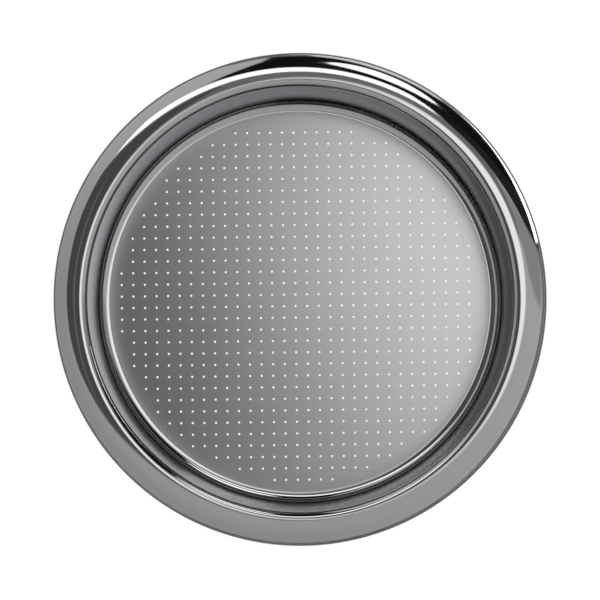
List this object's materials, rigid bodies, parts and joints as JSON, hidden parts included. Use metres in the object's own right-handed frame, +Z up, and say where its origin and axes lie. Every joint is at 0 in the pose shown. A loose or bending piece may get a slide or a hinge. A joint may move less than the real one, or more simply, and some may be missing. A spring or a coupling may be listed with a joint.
{
  "type": "espresso filter basket",
  "caption": "Open drawn-steel cup with a flat, finely perforated base, a straight wall and a rim rolled outward and down, which drops into an espresso portafilter.",
  "frame": {"origin": "on the basket's axis, at the underside of its base", "axes": "+Z up along the axis, out of the basket's mouth; X and Y along the rows of the punched grid"},
  "size_m": [0.0624, 0.0624, 0.0245],
  "materials": {
    "stainless_steel": "polished rim, satin base and wall"
  },
  "bodies": {
    "root": {"filter_basket": "stainless_steel"}
  },
  "joints": []
}
